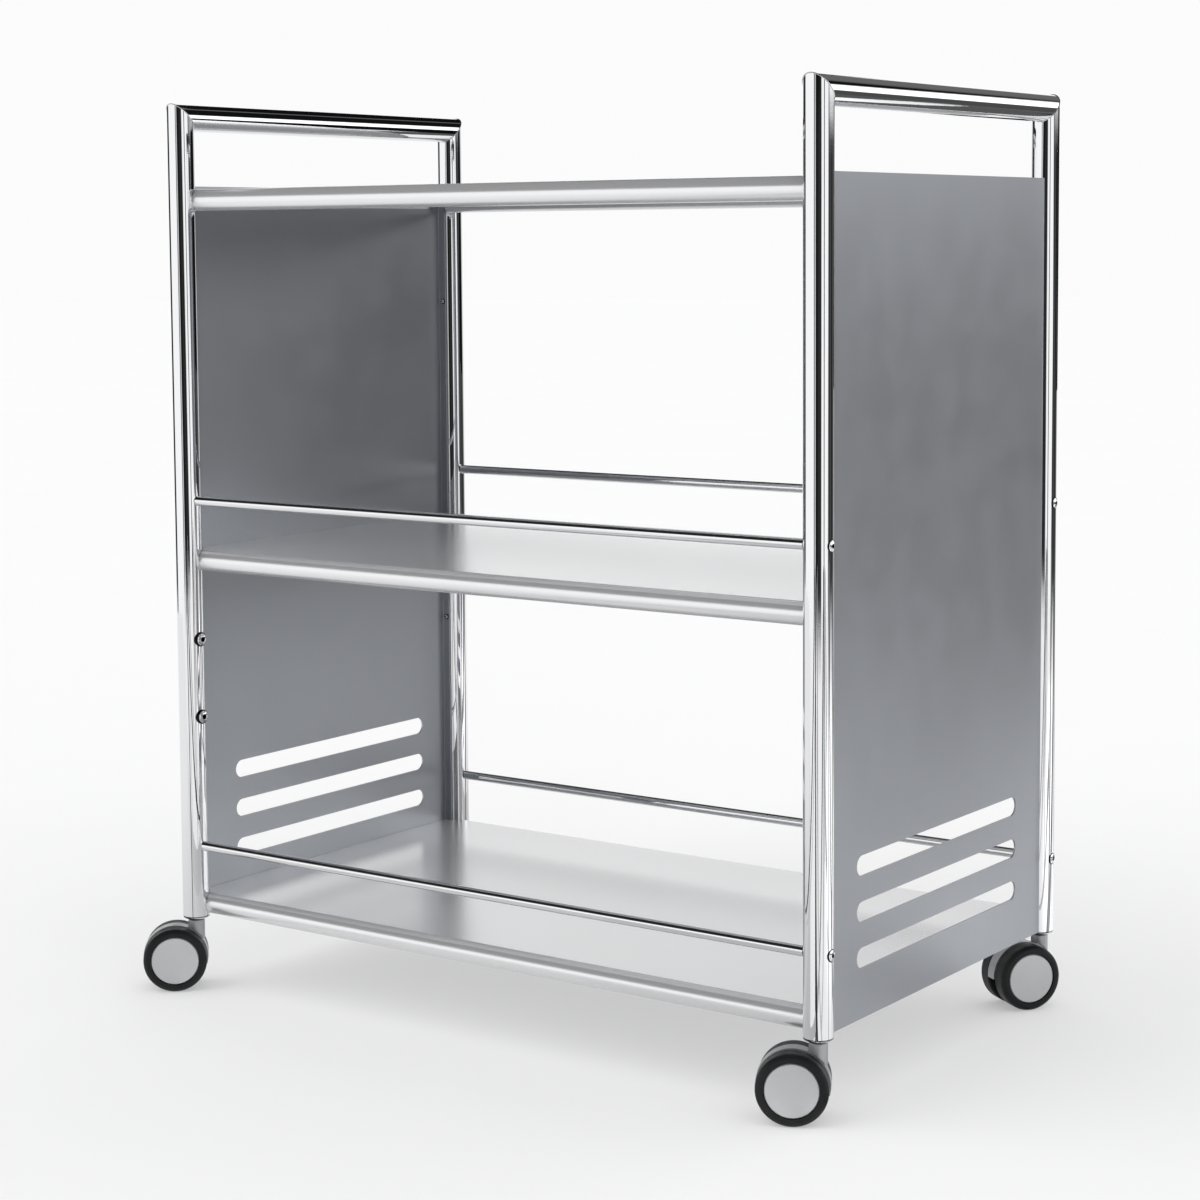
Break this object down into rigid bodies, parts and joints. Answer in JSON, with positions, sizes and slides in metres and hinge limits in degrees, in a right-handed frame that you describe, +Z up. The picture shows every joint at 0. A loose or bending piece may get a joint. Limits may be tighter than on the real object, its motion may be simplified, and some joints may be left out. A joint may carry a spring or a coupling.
{
  "type": "bar cart on wheels",
  "caption": "Serving cart on swivel castors: stacked silver shelves with gallery rails between chrome tube end frames, slotted side panels and handles at both ends.",
  "frame": {"origin": "on the floor, midway between the four upright legs", "axes": "+Z up, front long side towards -Y, long direction along X, end panels and handles at -X and +X"},
  "size_m": [0.7643, 0.4701, 0.8385],
  "materials": {
    "chrome_tube": "mirror-polished chrome plating on steel tube",
    "weld_bead": "chromed weld bead, slightly rippled",
    "chrome_plug": "polished chrome plug with a rounded lip",
    "black_washer": "matt black nylon",
    "shelf_silver": "satin silver powder coat on sheet steel",
    "chrome_rail": "mirror-polished chrome rod",
    "panel_grey": "fine satin grey powder coat on sheet steel",
    "screw_chrome": "bright plated socket screws",
    "screw_zinc": "zinc-plated small fixings",
    "tyre_black": "soft grey-black tread, satin",
    "hub_black": "moulded black plastic",
    "disc_silver": "satin silver disc with a bright bevelled rim",
    "castor_silver": "silver-grey moulded castor body",
    "pin_steel": "ground steel pin"
  },
  "bodies": {
    "frame": {"accessory_screws": "screw_chrome", "corner_welds": "weld_bead", "handle_left": "chrome_tube", "handle_right": "chrome_tube", "leg_front_left": "chrome_tube", "leg_front_right": "chrome_tube", "leg_plugs": "chrome_plug", "leg_rear_left": "chrome_tube", "leg_rear_right": "chrome_tube", "panel_screws": "screw_zinc", "rail_lower_front": "chrome_rail", "rail_lower_rear": "chrome_rail", "rail_screws": "screw_chrome", "rail_upper_front": "chrome_rail", "rail_upper_rear": "chrome_rail", "shelf_bottom": "shelf_silver", "shelf_middle": "shelf_silver", "shelf_nuts": "screw_zinc", "shelf_top": "shelf_silver", "side_panel_left": "panel_grey", "side_panel_right": "panel_grey", "swivel_washers": "black_washer"},
    "castor_fl": {"castor_fl_housing": "castor_silver", "castor_fl_stem": "pin_steel", "castor_fl_axle": "pin_steel"},
    "castor_fr": {"castor_fr_housing": "castor_silver", "castor_fr_stem": "pin_steel", "castor_fr_axle": "pin_steel"},
    "castor_rr": {"castor_rr_housing": "castor_silver", "castor_rr_stem": "pin_steel", "castor_rr_axle": "pin_steel"},
    "castor_rl": {"castor_rl_housing": "castor_silver", "castor_rl_stem": "pin_steel", "castor_rl_axle": "pin_steel"},
    "wheel_fl_a": {"castor_fl_tyre_a": "tyre_black", "castor_fl_hub_a": "hub_black", "castor_fl_disc_a": "disc_silver"},
    "wheel_fl_b": {"castor_fl_tyre_b": "tyre_black", "castor_fl_hub_b": "hub_black", "castor_fl_disc_b": "disc_silver"},
    "wheel_fr_a": {"castor_fr_tyre_a": "tyre_black", "castor_fr_hub_a": "hub_black", "castor_fr_disc_a": "disc_silver"},
    "wheel_fr_b": {"castor_fr_tyre_b": "tyre_black", "castor_fr_hub_b": "hub_black", "castor_fr_disc_b": "disc_silver"},
    "wheel_rr_a": {"castor_rr_tyre_a": "tyre_black", "castor_rr_hub_a": "hub_black", "castor_rr_disc_a": "disc_silver"},
    "wheel_rr_b": {"castor_rr_tyre_b": "tyre_black", "castor_rr_hub_b": "hub_black", "castor_rr_disc_b": "disc_silver"},
    "wheel_rl_a": {"castor_rl_tyre_a": "tyre_black", "castor_rl_hub_a": "hub_black", "castor_rl_disc_a": "disc_silver"},
    "wheel_rl_b": {"castor_rl_tyre_b": "tyre_black", "castor_rl_hub_b": "hub_black", "castor_rl_disc_b": "disc_silver"}
  },
  "joints": [
    {"name": "swivel_fl", "type": "hinge", "parent": "frame", "child": "castor_fl", "pos_m": [-0.345, -0.2, 0.0653], "axis": [0, 0, 1], "continuous": true},
    {"name": "swivel_fr", "type": "hinge", "parent": "frame", "child": "castor_fr", "pos_m": [0.345, -0.2, 0.0653], "axis": [0, 0, 1], "continuous": true},
    {"name": "swivel_rr", "type": "hinge", "parent": "frame", "child": "castor_rr", "pos_m": [0.345, 0.2, 0.0653], "axis": [0, 0, 1], "continuous": true},
    {"name": "swivel_rl", "type": "hinge", "parent": "frame", "child": "castor_rl", "pos_m": [-0.345, 0.2, 0.0653], "axis": [0, 0, 1], "continuous": true},
    {"name": "roll_fl_a", "type": "hinge", "parent": "castor_fl", "child": "wheel_fl_a", "pos_m": [-0.35996, -0.21328, 0.03], "axis": [0.6639, -0.7478, 0], "continuous": true},
    {"name": "roll_fl_b", "type": "hinge", "parent": "castor_fl", "child": "wheel_fl_b", "pos_m": [-0.35996, -0.21328, 0.03], "axis": [0.6639, -0.7478, 0], "continuous": true},
    {"name": "roll_fr_a", "type": "hinge", "parent": "castor_fr", "child": "wheel_fr_a", "pos_m": [0.32721, -0.20914, 0.03], "axis": [0.4571, -0.8894, 0], "continuous": true},
    {"name": "roll_fr_b", "type": "hinge", "parent": "castor_fr", "child": "wheel_fr_b", "pos_m": [0.32721, -0.20914, 0.03], "axis": [0.4571, -0.8894, 0], "continuous": true},
    {"name": "roll_rr_a", "type": "hinge", "parent": "castor_rr", "child": "wheel_rr_a", "pos_m": [0.33376, 0.18346, 0.03], "axis": [0.8271, -0.5621, 0], "continuous": true},
    {"name": "roll_rr_b", "type": "hinge", "parent": "castor_rr", "child": "wheel_rr_b", "pos_m": [0.33376, 0.18346, 0.03], "axis": [0.8271, -0.5621, 0], "continuous": true},
    {"name": "roll_rl_a", "type": "hinge", "parent": "castor_rl", "child": "wheel_rl_a", "pos_m": [-0.36158, 0.18882, 0.03], "axis": [0.5592, -0.829, 0], "continuous": true},
    {"name": "roll_rl_b", "type": "hinge", "parent": "castor_rl", "child": "wheel_rl_b", "pos_m": [-0.36158, 0.18882, 0.03], "axis": [0.5592, -0.829, 0], "continuous": true}
  ]
}
